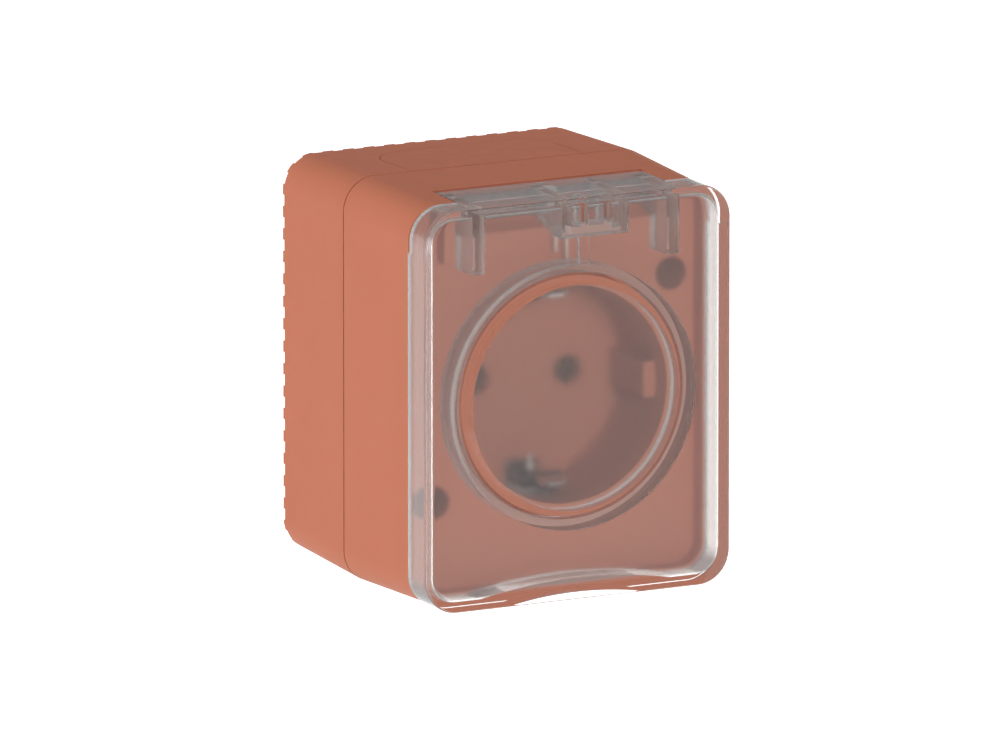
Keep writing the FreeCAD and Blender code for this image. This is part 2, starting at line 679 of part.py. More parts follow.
def make_contact_base():
    body = new_body("contact_base")
    half_x, half_z = "(Sizes.base_width / 2)", "(Sizes.base_height / 2)"
    add(body, section(body, BASE_BACK, half_x, half_z, "Sizes.base_radius"), "Sizes.base_thickness")
    behind = f"({BASE_BACK} - {OVER})"
    floor = f"({BASE_BACK} + Sizes.base_wall)"
    front = f"({CUP_BACK} + {OVER})"
    sleeve = "(Sizes.sleeve_bore + Sizes.sleeve_wall + Sizes.sleeve_play)"
    round_feature(body, cut, floor, front, sleeve, ((PIN_X, "0"), (f"-{PIN_X}", "0")))
    half = "(Sizes.clamp_width / 2 + Sizes.clamp_play)"
    far = f"({CLAMP_REACH} + Sizes.clamp_play)"
    for place, sign in CLAMPS.values():
        low, high = ("Sizes.sleeve_bore", far) if sign == "" else (f"-{far}", "-Sizes.sleeve_bore")
        square_feature(body, cut, floor, front, [(f"({place} - {half})", f"({place} + {half})", low, high)])
        access = ((place, f"{sign}{CLAMP_MIDDLE}"),)
        round_feature(body, cut, behind, f"({floor} + {OVER})",
                      "(Sizes.clamp_head_radius + Sizes.clamp_play)", access)
        wire = new_sketch(body, "XY_Plane", f"{sign}({half_z} + {OVER})")
        draw_circle(wire, "(Sizes.wire_radius + Sizes.clamp_play)", place, CLAMP_WIRE)
        cut(body, wire, f"{half_z} - {CLAMP_REACH} + {OVER}", against=sign == "")
    channel = "(Sizes.strap_width / 2 + Sizes.clamp_play)"
    square_feature(body, cut, f"({CUP_BACK} - Sizes.strap_thickness)", front, [
        (f"-{channel}", channel, f"(-{half_z} - {OVER})", f"({half_z} + {OVER})")])
    screws = (("Sizes.base_screw_x", "0"), ("-Sizes.base_screw_x", "0"))
    round_feature(body, cut, behind, front, "(Sizes.small_screw_radius + Sizes.screw_play)", screws)
    round_feature(body, cut, behind, f"({BASE_BACK} + Sizes.small_head_height)",
                  "(Sizes.small_head_radius + Sizes.screw_play)", screws)
    return body


def make_line_contact(name, place):
    """A slit sleeve for one pin, with a tail down to its terminal clamp."""
    body = new_body(name)
    sleeve = new_sketch(body, "XZ_Plane", CLAMP_BACK)
    draw_circle(sleeve, "(Sizes.sleeve_bore + Sizes.sleeve_wall)", place)
    draw_circle(sleeve, "Sizes.sleeve_bore", place)
    add(body, sleeve, "Sizes.sleeve_length")
    half = "Sizes.tail_width / 2"
    square_feature(body, add, CLAMP_BACK, f"({CLAMP_BACK} + Sizes.tail_length)", [
        (f"({place} - {half})", f"({place} + {half})", "-Sizes.clamp_drop",
         "-(Sizes.sleeve_bore + Sizes.sleeve_wall / 2)")])
    slit = "Sizes.sleeve_slit / 2"
    slit_start = f"({CLAMP_BACK} + Sizes.tail_length / 2)"
    square_feature(body, cut, slit_start, f"({CLAMP_BACK} + Sizes.sleeve_length + {OVER})", [
        (f"({place} - {slit})", f"({place} + {slit})", "0", "(Sizes.sleeve_bore + 2 * Sizes.sleeve_wall)")])
    return body


def make_terminal_clamp(name, place, sign):
    body = new_body(name)
    half = "Sizes.clamp_width / 2"
    near, far = f"{sign}Sizes.clamp_drop", f"{sign}{CLAMP_REACH}"
    low, high = (near, far) if sign == "" else (far, near)
    front = f"({CLAMP_BACK} + Sizes.clamp_length)"
    square_feature(body, add, CLAMP_BACK, front, [(f"({place} - {half})", f"({place} + {half})", low, high)])
    wire = new_sketch(body, "XY_Plane")
    draw_circle(wire, "Sizes.wire_radius", place, CLAMP_WIRE)
    cut(body, wire, "2 * Sizes.base_height", both_ways=True)
    round_feature(body, cut, f"({CLAMP_BACK} - {OVER})", f"({CLAMP_BACK} + Sizes.clamp_length / 2)",
                  "(Sizes.clamp_screw_radius + Sizes.pilot_play)", ((place, f"{sign}{CLAMP_MIDDLE}"),))
    return body


def make_screw(name, seat, across, up, shank, length, head, head_height, towards_wall):
    """A slotted cheese-head screw along the socket's axis, its head seated at a depth."""
    solids = []
    for what, radius, height, start, turn in (
        ("shank", shank, length, seat, -1 if towards_wall else 1),
        ("head", head, head_height, seat, 1 if towards_wall else -1),
    ):
        cylinder = doc.addObject("Part::Cylinder", f"{name}_{what}")
        cylinder.setExpression("Radius", radius)
        cylinder.setExpression("Height", height)
        cylinder.Placement.Rotation = Rotation(Vector(1, 0, 0), 90 * turn)
        cylinder.setExpression(".Placement.Base.x", across)
        cylinder.setExpression(".Placement.Base.y", f"-({start})")
        cylinder.setExpression(".Placement.Base.z", up)
        solids.append(cylinder)
    whole = doc.addObject("Part::Fuse", f"{name}_blank")
    whole.Base, whole.Tool = solids
    slot = doc.addObject("Part::Box", f"{name}_slot")
    slot.setExpression("Length", "Sizes.screw_slot")
    slot.setExpression("Width", f"{head_height} / 2 + {OVER}")
    slot.setExpression("Height", f"2 * ({head} + {OVER})")
    slot.setExpression(".Placement.Base.x", f"{across} - Sizes.screw_slot / 2")
    top = f"({seat} + {head_height})" if towards_wall else f"({seat} - {head_height})"
    inner = f"({top} + {OVER})" if towards_wall else f"({top} + {head_height} / 2)"
    slot.setExpression(".Placement.Base.y", f"-{inner}")
    slot.setExpression(".Placement.Base.z", f"{up} - {head} - {OVER}")
    screw = doc.addObject("Part::Cut", name)
    screw.Label = name
    screw.Base = whole
    screw.Tool = slot
    return screw


def make_washer(name, across, up):
    body = new_body(name)
    sketch = new_sketch(body, "XZ_Plane", SCREW_SEAT)
    draw_circle(sketch, "Sizes.screw_head_radius", across, up)
    draw_circle(sketch, "(Sizes.screw_radius + Sizes.gasket_play)", across, up)
    add(body, sketch, "Sizes.washer_thickness")
    return body


def bent_strip(points, thickness, width):
    """A strip folded along points (depth, height), of even thickness, centred on X = 0."""
    line = [Vector(0, -depth, height) for depth, height in points]
    sides = {1: [], -1: []}
    for k, point in enumerate(line):
        before = (point - line[k - 1]).normalize() if k > 0 else None
        after = (line[k + 1] - point).normalize() if k < len(line) - 1 else None
        first, second = before or after, after or before
        normal_a = Vector(0, -first.z, first.y)
        normal_b = Vector(0, -second.z, second.y)
        mitre = (normal_a + normal_b) * (1 / (1 + normal_a.dot(normal_b)))
        for side in sides:
            sides[side].append(point + mitre * (side * thickness / 2))
    outline = sides[1] + sides[-1][::-1]
    face = Part.Face(Part.makePolygon(outline + outline[:1]))
    strip = face.extrude(Vector(width, 0, 0))
    strip.translate(Vector(-width / 2, 0, 0))
    return strip


def make_earth_strap():
    """One folded strip: behind the cup, then through both slots as bowed clips, with a tail to its clamp."""
    thickness = number("Sizes.strap_thickness")
    height = number("Sizes.strap_height")
    bow = number("Sizes.clip_bow")
    back = number(CUP_BACK) - thickness / 2
    leg = [
        (back, height),
        (back + number("Sizes.clip_start"), height),
        (back + number("Sizes.clip_peak"), height - bow),
        (back + number("Sizes.clip_end"), height - number("Sizes.clip_flare")),
    ]
    other = [(depth, -up) for depth, up in leg]
    strip = bent_strip(other[::-1] + leg, thickness, number("Sizes.strap_width"))
    # the narrow rolled tips that lead a plug in
    roll, length = number("Sizes.clip_tip_radius"), number("Sizes.clip_tip_width")
    for depth, up in (leg[-1], other[-1]):
        corner = Vector(-length / 2, -depth, up)
        strip = strip.fuse(Part.makeCylinder(roll, length, corner, Vector(1, 0, 0)))
    width, reach = number("Sizes.tail_width"), number("Sizes.strap_tail")
    seat = Vector(-width / 2, -number(CUP_BACK), number("Sizes.clamp_drop") - thickness)
    tail = Part.makeBox(width, thickness + reach, thickness, seat)
    feature = doc.addObject("Part::Feature", "earth_strap")
    feature.Shape = strip.fuse(tail).removeSplitter()
    return feature


# Hinge and lid
def make_hinge_pin():
    pin = doc.addObject("Part::Cylinder", "hinge_pin")
    pin.setExpression("Radius", "Sizes.pin_radius")
    pin.setExpression("Height", f"2 * ({RECESS_X} + Sizes.pin_seat)")
    pin.Placement.Rotation = Rotation(Vector(0, 1, 0), 90)
    pin.setExpression(".Placement.Base.x", f"-({RECESS_X} + Sizes.pin_seat)")
    pin.setExpression(".Placement.Base.y", f"-{AXIS_DEPTH}")
    pin.setExpression(".Placement.Base.z", AXIS_Z)
    return pin


def make_lid_spring():
    """A torsion spring round the hinge pin, wound as one wire with two legs that point down."""
    wire = number("Sizes.spring_wire")
    coil = number("Sizes.spring_coil")
    pitch = number("Sizes.spring_pitch")
    turns = number("Sizes.spring_turns")
    depth, height = number(AXIS_DEPTH), number(AXIS_Z)
    left = number("Sizes.spring_start")
    feet = [number("Sizes.spring_foot_left"), number("Sizes.spring_foot_right")]
    forward = number("Sizes.spring_leg_forward")
    helix = Part.makeHelix(pitch, pitch * turns, coil)
    helix.rotate(Vector(0, 0, 0), Vector(0, 1, 0), 90)
    helix.translate(Vector(left, -depth, height))
    first, last = helix.Edges[0], helix.Edges[-1]
    ends = [first.valueAt(first.FirstParameter), last.valueAt(last.LastParameter)]
    tangent = first.tangentAt(first.FirstParameter)
    profile = Part.Wire(Part.makeCircle(wire, ends[0], tangent))
    solids = [Part.Wire(helix.Edges).makePipeShell([profile], True, True)]
    for end, foot in zip(ends, feet):
        knee = Vector(end.x, -(depth + forward), (end.z + foot) / 2)
        toe = Vector(end.x, -(depth + forward), foot)
        for start, stop in ((end, knee), (knee, toe)):
            run = stop - start
            solids.append(Part.makeCylinder(wire, run.Length, start, run))
            solids.append(Part.makeSphere(wire, start))
    whole = solids[0].multiFuse(solids[1:])
    feature = doc.addObject("Part::Feature", "lid_spring")
    feature.Shape = whole
    return feature


def segment_outline(sketch, chord, rise, base, floor):
    """The area under a shallow arc that spans chord and rises above the line base, down to floor."""
    radius = f"(({chord} / 2) ^ 2 + {rise} ^ 2) / (2 * {rise})"
    half, low, bottom, r = number(chord) / 2, number(base), number(floor), number(radius)
    spread = math.asin(half / r)
    circle = Part.Circle(Vector(0, low + number(rise) - r, 0), Vector(0, 0, 1), r)
    sketch.addGeometry(Part.ArcOfCircle(circle, math.pi / 2 - spread, math.pi / 2 + spread), False)
    corners = [
        Vector(-half, low, 0), Vector(-half, bottom, 0), Vector(half, bottom, 0), Vector(half, low, 0)]
    for start, end in zip(corners, corners[1:]):
        sketch.addGeometry(Part.LineSegment(start, end), False)
    for a, b in (((0, 2), (1, 1)), ((1, 2), (2, 1)), ((2, 2), (3, 1)), ((3, 2), (0, 1))):
        sketch.addConstraint(Sketcher.Constraint("Coincident", *a, *b))
    sketch.addConstraint(Sketcher.Constraint("Vertical", 1))
    sketch.addConstraint(Sketcher.Constraint("Horizontal", 2))
    sketch.addConstraint(Sketcher.Constraint("Vertical", 3))
    hold_point(sketch, 0, 1, f"{chord} / 2", base)
    hold_point(sketch, 0, 2, f"-{chord} / 2", base)
    hold(sketch, "DistanceY", (-1, 1, 2, 1), floor)
    hold(sketch, "Radius", (0,), radius)


def make_lid():
    body = new_body("lid")
    shell = add(body, section(body, LID_REAR, LID_X, LID_Z, CORNER), f"{LID_FRONT} - {LID_REAR}")
    round_edges(body, shell, LID_FRONT, "Sizes.lid_edge_round")
    behind = f"({LID_REAR} - {OVER})"
    inner_x, inner_z = f"({LID_X} - Sizes.lid_wall)", f"({LID_Z} - Sizes.lid_wall)"
    inside = section(body, behind, inner_x, inner_z, "Sizes.lid_inner_radius")
    hollow = cut(body, inside, f"{LID_INNER} - {behind}")
    round_edges(body, hollow, LID_INNER, "Sizes.lid_inner_round")
    # the upper part of the rear edge stands back, to clear the cover as the lid turns
    square_feature(body, cut, behind, f"({LID_REAR} + Sizes.lid_step)", [
        (f"-({LID_X} + {OVER})", f"({LID_X} + {OVER})", "Sizes.lid_step_height", f"({LID_Z} + {OVER})")])
    # finger scoop behind the panel's bottom edge, with the wall arched over it
    arch = new_sketch(body, "XZ_Plane", LID_REAR)
    segment_outline(arch, "Sizes.arch_chord", "Sizes.arch_rise", f"(-{inner_z})", f"(-{inner_z} - {ROOT})")
    add(body, arch, f"{LID_INNER} - {LID_REAR} + {ROOT}")
    scoop = new_sketch(body, "XZ_Plane", behind)
    segment_outline(scoop, "Sizes.scoop_chord", "Sizes.scoop_rise", f"(-{LID_Z})", f"(-{LID_Z} - {OVER})")
    cut(body, scoop, f"{LID_INNER} - {behind}")
    # ring rib that closes on the collar, with a deeper skirt round the collar's outside
    ring_end, skirt_end = f"({COLLAR} + Sizes.ring_gap)", f"({LID_INNER} - Sizes.skirt_depth)"
    ring = new_sketch(body, "XZ_Plane", ring_end)
    draw_circle(ring, "Sizes.ring_outer")
    draw_circle(ring, "Sizes.ring_inner")
    add(body, ring, f"{LID_INNER} - {ring_end} + {ROOT}")
    skirt = new_sketch(body, "XZ_Plane", skirt_end)
    draw_circle(skirt, "Sizes.ring_outer")
    draw_circle(skirt, "Sizes.skirt_inner")
    add(body, skirt, f"{ring_end} - {skirt_end} + {ROOT}")
    # hinge plate, flush with the top, whose tail follows a circle round the pin
    add(body, plate_outline(body), "2 * Sizes.hinge_half_width", both_ways=True)
    # the two hinge arms
    arm = new_sketch(body, "YZ_Plane", "(Sizes.hinge_half_width - Sizes.arm_thickness)")
    plate_low = f"({LID_Z} - Sizes.plate_thickness / 2)"
    root = f"(-({LID_INNER} + {ROOT}))"
    back = f"(-({LID_INNER} - Sizes.arm_depth))"
    draw_polygon(arm, [
        (root, "Sizes.arm_foot"),
        (back, "Sizes.arm_foot"),
        (back, f"({AXIS_Z} - 2 * Sizes.knuckle_radius)"),
        (f"(-{AXIS_DEPTH})", f"({AXIS_Z} - Sizes.knuckle_radius)"),
        (f"(-{AXIS_DEPTH} + Sizes.knuckle_radius)", AXIS_Z),
        (f"(-{AXIS_DEPTH} + Sizes.knuckle_radius)", plate_low),
        (root, plate_low),
    ])
    arm_right = add(body, arm, "Sizes.arm_thickness")
    knuckle = new_sketch(body, "YZ_Plane", "(Sizes.hinge_half_width - Sizes.arm_thickness)")
    draw_circle(knuckle, "Sizes.knuckle_radius", f"-{AXIS_DEPTH}", AXIS_Z)
    knuckle_right = add(body, knuckle, "Sizes.arm_thickness")
    mirror_across_middle(body, [arm_right, knuckle_right])
    # block of ribs between the arms, of which the two outer ones reach the pin
    high = f"({inner_z} + {ROOT})"
    rib_root = f"({LID_INNER} + {ROOT})"
    left, right, foot = "Sizes.block_left", "Sizes.block_right", "Sizes.block_foot"
    square_feature(body, add, f"({LID_INNER} - Sizes.block_depth)", rib_root, [
        (left, right, foot, f"({foot} + Sizes.block_bar)")])
    for start in ("Sizes.bar_one", "Sizes.bar_two"):
        square_feature(body, add, f"({LID_INNER} - Sizes.bar_depth)", rib_root, [
            (start, f"({start} + Sizes.bar_width)", foot, high)])
    for start in (left, f"({right} - Sizes.block_bar)"):
        web = new_sketch(body, "YZ_Plane", start)
        draw_polygon(web, [
            (root, foot),
            (f"(-({LID_INNER} - Sizes.bar_depth))", foot),
            (f"(-{AXIS_DEPTH})", f"({AXIS_Z} - Sizes.knuckle_radius)"),
            (f"(-{AXIS_DEPTH} + Sizes.knuckle_radius)", AXIS_Z),
            (f"(-{AXIS_DEPTH} + Sizes.knuckle_radius)", plate_low),
            (root, plate_low),
        ])
        add(body, web, "Sizes.block_bar")
        disc = new_sketch(body, "YZ_Plane", start)
        draw_circle(disc, "Sizes.knuckle_radius", f"-{AXIS_DEPTH}", AXIS_Z)
        add(body, disc, "Sizes.block_bar")
    square_feature(body, add, f"({LID_INNER} - Sizes.link_depth)", rib_root, [
        ("Sizes.link_left", "(Sizes.link_left + Sizes.link_width)",
         f"(Sizes.ring_outer - {ROOT})", f"({foot} + {ROOT})")])
    bore = new_sketch(body, "YZ_Plane")
    draw_circle(bore, "(Sizes.pin_radius + Sizes.pin_play)", f"-{AXIS_DEPTH}", AXIS_Z)
    cut(body, bore, f"2 * ({RECESS_X} + {OVER})", both_ways=True)
    notch = new_sketch(body, "XY_Plane", f"({LID_Z} - 2 * Sizes.plate_thickness)")
    half = "Sizes.plate_notch / 2"
    tail_end = f"({AXIS_DEPTH} - Sizes.tail_reach)"
    draw_rectangle(notch, f"-{half}", half, f"(-({tail_end} + Sizes.plate_notch_length))",
                   f"(-({tail_end} - {OVER}))")
    cut(body, notch, "3 * Sizes.plate_thickness")
    return body


def plate_outline(body):
    """Section of the hinge plate: flat on top, its rear end an arc about the pin."""
    sketch = new_sketch(body, "YZ_Plane")
    front = f"({LID_REAR} + Sizes.lid_step + Sizes.lid_wall)"
    high, low = LID_Z, f"({LID_Z} - Sizes.plate_thickness)"
    rise_high = "(Sizes.hinge_drop + Sizes.lid_overhang)"
    rise_low = f"({rise_high} - Sizes.plate_thickness)"
    ends = [f"(-{AXIS_DEPTH} + sqrt(Sizes.tail_reach ^ 2 - {rise} ^ 2))" for rise in (rise_high, rise_low)]
    corners = [Vector(-number(front), number(low), 0), Vector(-number(front), number(high), 0),
               Vector(number(ends[0]), number(high), 0), Vector(number(ends[1]), number(low), 0)]
    sketch.addGeometry(Part.LineSegment(corners[0], corners[1]), False)
    sketch.addGeometry(Part.LineSegment(corners[1], corners[2]), False)
    sketch.addGeometry(Part.LineSegment(corners[3], corners[0]), False)
    centre = Vector(-number(AXIS_DEPTH), number(AXIS_Z), 0)
    reach = number("Sizes.tail_reach")
    turns = [math.asin(number(rise) / reach) for rise in (rise_low, rise_high)]
    circle = Part.Circle(centre, Vector(0, 0, 1), reach)
    sketch.addGeometry(Part.ArcOfCircle(circle, turns[0], turns[1]), False)
    for a, b in (((0, 2), (1, 1)), ((1, 2), (3, 2)), ((3, 1), (2, 1)), ((2, 2), (0, 1))):
        sketch.addConstraint(Sketcher.Constraint("Coincident", *a, *b))
    for line, kind in ((0, "Vertical"), (1, "Horizontal"), (2, "Horizontal")):
        sketch.addConstraint(Sketcher.Constraint(kind, line))
    hold_point(sketch, 0, 1, f"-{front}", low)
    hold(sketch, "DistanceY", (-1, 1, 0, 2), high)
    hold_point(sketch, 3, 3, f"-{AXIS_DEPTH}", AXIS_Z)
    hold(sketch, "Radius", (3,), "Sizes.tail_reach")
    return sketch


# The assembly
parts = [make_back_box(), *make_cable_entries(), make_box_gasket(), make_front_cover()]
parts += [make_socket_cup(), make_contact_base(), make_earth_strap()]
for name, (place, sign) in CLAMPS.items():
    if name != "earth":
        parts.append(make_line_contact(f"{name}_contact", place))
    parts.append(make_terminal_clamp(f"{name}_clamp", place, sign))
    parts.append(make_screw(
        f"{name}_clamp_screw", f"({CLAMP_BACK} - Sizes.clamp_head_height / 4)",
        place, f"{sign}{CLAMP_MIDDLE}",
        "Sizes.clamp_screw_radius", "(Sizes.clamp_length / 2 - Sizes.wire_radius)",
        "Sizes.clamp_head_radius", "Sizes.clamp_head_height", False))
for name, (across, up) in zip(("upper", "lower"), SCREW_PLACES):
    parts.append(make_washer(f"cover_screw_seal_{name}", across, up))
    parts.append(make_screw(
        f"cover_screw_{name}", f"({SCREW_SEAT} + Sizes.washer_thickness)", across, up, "Sizes.screw_radius",
        "(Sizes.screw_seat + Sizes.washer_thickness + Sizes.screw_bite - Sizes.screw_tip_gap)",
        "Sizes.screw_head_radius", "Sizes.screw_head_height", True))
for name, (across, up) in zip(("left", "right"), BOSS_PLACES):
    parts.append(make_screw(
        f"cup_screw_{name}", CUP_BACK, across, up, "Sizes.small_screw_radius",
        "(Sizes.ear_thickness + Sizes.small_screw_bite - Sizes.screw_tip_gap)",
        "Sizes.small_head_radius", "Sizes.small_head_height", False))
reach = "(Sizes.base_thickness - Sizes.small_head_height + Sizes.small_screw_bite - Sizes.screw_tip_gap)"
for name, across in (("left", "-Sizes.base_screw_x"), ("right", "Sizes.base_screw_x")):
    parts.append(make_screw(
        f"base_screw_{name}", f"({BASE_BACK} + Sizes.small_head_height)", across, "0",
        "Sizes.small_screw_radius", reach,
        "Sizes.small_head_radius", "Sizes.small_head_height", False))
parts += [make_hinge_pin(), make_lid_spring(), make_lid()]
doc.recompute()

for item in doc.Objects:
    if "Invalid" in item.State or "Error" in item.State:
        raise ValueError(f"{item.Label} failed: {item.State}")
for piece in parts:
    if piece.Shape.isNull() or not piece.Shape.isValid():
        raise ValueError(f"{piece.Label} has no valid shape")
os.makedirs("parts", exist_ok=True)
for piece in parts:
    piece.Shape.exportStep(f"parts/{piece.Label}.step")
    box = piece.Shape.BoundBox
    print(f"{piece.Label}: {len(piece.Shape.Solids)} solid, {piece.Shape.Volume:.1f} mm3, "
          f"{box.XLength:.2f} x {box.YLength:.2f} x {box.ZLength:.2f} mm")
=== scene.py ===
import json
import math

import bpy
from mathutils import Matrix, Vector


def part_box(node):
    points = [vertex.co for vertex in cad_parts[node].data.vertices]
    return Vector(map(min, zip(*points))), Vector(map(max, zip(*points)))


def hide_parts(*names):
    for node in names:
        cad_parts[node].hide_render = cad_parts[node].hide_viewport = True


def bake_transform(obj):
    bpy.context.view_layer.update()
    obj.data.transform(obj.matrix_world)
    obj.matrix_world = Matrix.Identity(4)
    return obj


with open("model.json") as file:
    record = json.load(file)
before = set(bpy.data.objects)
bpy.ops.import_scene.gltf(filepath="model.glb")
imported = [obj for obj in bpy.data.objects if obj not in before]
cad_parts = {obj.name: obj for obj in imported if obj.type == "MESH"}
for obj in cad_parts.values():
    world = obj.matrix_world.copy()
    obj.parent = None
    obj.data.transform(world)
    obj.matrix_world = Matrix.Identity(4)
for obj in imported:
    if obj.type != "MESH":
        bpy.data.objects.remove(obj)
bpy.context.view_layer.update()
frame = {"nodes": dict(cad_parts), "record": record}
NODES = frame["nodes"]
MM = 0.001

# Camera at the photograph's place, fitted to the housing's edges
CAMERA_AZIMUTH = math.radians(-27.046)
CAMERA_ELEVATION = math.radians(12.569)
CAMERA_DISTANCE = 3.79024
CAMERA_LENS = 746.65
CAMERA_SENSOR = 36
CAMERA_RANGE = 20
LOOK_AT = Vector((0, -0.030, 0))
LOOK_RIGHT = -1.356 * MM
LOOK_UP = -1.139 * MM


def place_camera():
    """A long lens from the upper left, aimed a little off the object's middle."""
    azimuth, elevation = CAMERA_AZIMUTH, CAMERA_ELEVATION
    forward = Vector((
        -math.sin(azimuth) * math.cos(elevation),
        math.cos(azimuth) * math.cos(elevation),
        -math.sin(elevation),
    ))
    right = Vector((math.cos(azimuth), math.sin(azimuth), 0))
    up = right.cross(forward)
    target = LOOK_AT + right * LOOK_RIGHT + up * LOOK_UP
    data = bpy.data.cameras.new("photo_camera")
    data.sensor_width = CAMERA_SENSOR
    data.lens = CAMERA_LENS
    data.clip_end = CAMERA_RANGE
    camera = bpy.data.objects.new("photo_camera", data)
    camera.location = target - forward * CAMERA_DISTANCE
    camera.rotation_euler = forward.to_track_quat("-Z", "Y").to_euler()
    bpy.context.scene.collection.objects.link(camera)
    bpy.context.scene.camera = camera


# Node helpers, the range that noise mostly keeps to, and limits between whole counts of a ray's bounces
NOISE_LOW = 0.3
NOISE_HIGH = 0.7
NO_BOUNCE = 0.5
ONE_CROSSING = 1.5


def new_material(name):
    material = bpy.data.materials.new(name)
    material.use_nodes = True
    return material, material.node_tree, material.node_tree.nodes["Principled BSDF"]


def object_place(tree):
    return tree.nodes.new("ShaderNodeTexCoord").outputs["Object"]


def split(tree, vector):
    """The vector's parts, by the names X, Y and Z."""
    parts = tree.nodes.new("ShaderNodeSeparateXYZ")
    tree.links.new(vector, parts.inputs["Vector"])
    return parts.outputs


def object_noise(tree, scale, detail):
    """Noise with so many waves to the metre, as a socket."""
    noise = tree.nodes.new("ShaderNodeTexNoise")
    noise.inputs["Scale"].default_value = scale
    noise.inputs["Detail"].default_value = detail
    tree.links.new(object_place(tree), noise.inputs["Vector"])
    return noise.outputs["Fac"]


def spread(tree, value, low, high, low_in=NOISE_LOW, high_in=NOISE_HIGH):
    """Passes from low to high while the value goes from low_in to high_in."""
    ranged = tree.nodes.new("ShaderNodeMapRange")
    ranged.inputs["From Min"].default_value = low_in
    ranged.inputs["From Max"].default_value = high_in
    ranged.inputs["To Min"].default_value = low
    ranged.inputs["To Max"].default_value = high
    tree.links.new(value, ranged.inputs["Value"])
    return ranged.outputs["Result"]


def calculate(tree, operation, first, second=None):
    """A Math node: first is a socket, and second a socket or a number."""
    node = tree.nodes.new("ShaderNodeMath")
    node.operation = operation
    tree.links.new(first, node.inputs[0])
    if isinstance(second, (int, float)):
        node.inputs[1].default_value = second
    elif second is not None:
        tree.links.new(second, node.inputs[1])
    return node.outputs["Value"]


def product(tree, first, *others):
    for other in others:
        first = calculate(tree, "MULTIPLY", first, other)
    return first


def largest(tree, first, *others):
    for other in others:
        first = calculate(tree, "MAXIMUM", first, other)
    return first


def vector_node(tree, operation, vector, by=(0, 0, 0)):
    node = tree.nodes.new("ShaderNodeVectorMath")
    node.operation = operation
    node.inputs[1].default_value = by
    tree.links.new(vector, node.inputs[0])
    return node


def length_of(tree, vector):
    return vector_node(tree, "LENGTH", vector).outputs["Value"]


def blend_colours(tree, factor, first, second):
    """Passes from the first colour, which may be a socket, to the second."""
    mix = tree.nodes.new("ShaderNodeMix")
    mix.data_type = "RGBA"
    if isinstance(first, tuple):
        mix.inputs["A"].default_value = (*first, 1)
    else:
        tree.links.new(first, mix.inputs["A"])
    mix.inputs["B"].default_value = (*second, 1)
    tree.links.new(factor, mix.inputs["Factor"])
    return mix.outputs["Result"]


def paint_depth_shade(tree, colour, deep, start, end):
    """Paints shade: passes from the colour to a darker one between two places along Y, deeper in the well.
    """
    depth = spread(tree, split(tree, object_place(tree))["Y"], 0, 1, start, end)
    return blend_colours(tree, depth, colour, deep)


def mix_shaders(tree, factor, first, second):
    mix = tree.nodes.new("ShaderNodeMixShader")
    tree.links.new(factor, mix.inputs["Fac"])
    tree.links.new(first, mix.inputs[1])
    tree.links.new(second, mix.inputs[2])
    return mix.outputs["Shader"]


def add_bump(tree, shader, height, strength, distance):
    bump = tree.nodes.new("ShaderNodeBump")
    bump.inputs["Strength"].default_value = strength
    bump.inputs["Distance"].default_value = distance
    tree.links.new(height, bump.inputs["Height"])
    tree.links.new(bump.outputs["Normal"], shader.inputs["Normal"])


# Moulded plastic: noises as scale and detail, bumps as strength and depth
PLASTIC_FLOW = (60, 4)
PLASTIC_GLOSS = (350, 4)
PLASTIC_GLOSS_SPREAD = 0.05
PLASTIC_GRAIN = (4200, 2)
PLASTIC_BUMP = (0.25, 0.04 * MM)
PLASTIC_IOR = 1.5
PLASTIC_SPECULAR = 0.03


def moulded_plastic(name, colour, shade, roughness, painted_depth_shade=None):
    """Matt moulded plastic: a fine sparked grain, faint flow marks and an uneven gloss, and, when given,
    painted shade that darkens it deeper in the well.
    """
    material, tree, shader = new_material(name)
    shader.inputs["IOR"].default_value = PLASTIC_IOR
    shader.inputs["Specular IOR Level"].default_value = PLASTIC_SPECULAR
    flow = spread(tree, object_noise(tree, *PLASTIC_FLOW), 0, 1)
    marked = blend_colours(tree, flow, colour, shade)
    if painted_depth_shade:
        marked = paint_depth_shade(tree, marked, *painted_depth_shade)
    tree.links.new(marked, shader.inputs["Base Color"])
    gloss = spread(tree, object_noise(tree, *PLASTIC_GLOSS),
                   roughness - PLASTIC_GLOSS_SPREAD, roughness + PLASTIC_GLOSS_SPREAD)
    tree.links.new(gloss, shader.inputs["Roughness"])
    add_bump(tree, shader, object_noise(tree, *PLASTIC_GRAIN), *PLASTIC_BUMP)
    return material


METAL_GLOSS = (900, 3)
METAL_SMOOTHER = 0.06
METAL_ROUGHER = 0.08
METAL_GRAIN = (2500, 2)
METAL_BUMP = (0.12, 0.03 * MM)


def metal(name, colour, roughness, painted_depth_shade=None, metallic=1.0):
    """Plain drawn or stamped metal with a slightly worn gloss, and, when given, painted shade that darkens
    it deeper in the well.
    """
    material, tree, shader = new_material(name)
    shader.inputs["Metallic"].default_value = metallic
    shader.inputs["Base Color"].default_value = (*colour, 1)
    if painted_depth_shade:
        tree.links.new(paint_depth_shade(tree, colour, *painted_depth_shade), shader.inputs["Base Color"])
    gloss = spread(tree, object_noise(tree, *METAL_GLOSS),
                   roughness - METAL_SMOOTHER, roughness + METAL_ROUGHER)
    tree.links.new(gloss, shader.inputs["Roughness"])
    add_bump(tree, shader, object_noise(tree, *METAL_GRAIN), *METAL_BUMP)
    return material


RUBBER_BLACK = (0.012, 0.012, 0.012)
RUBBER_GLOSS = (500, 3)
RUBBER_SMOOTHEST = 0.6
RUBBER_ROUGHEST = 0.8
RUBBER_GRAIN = (3000, 2)
RUBBER_BUMP = (0.2, 0.04 * MM)


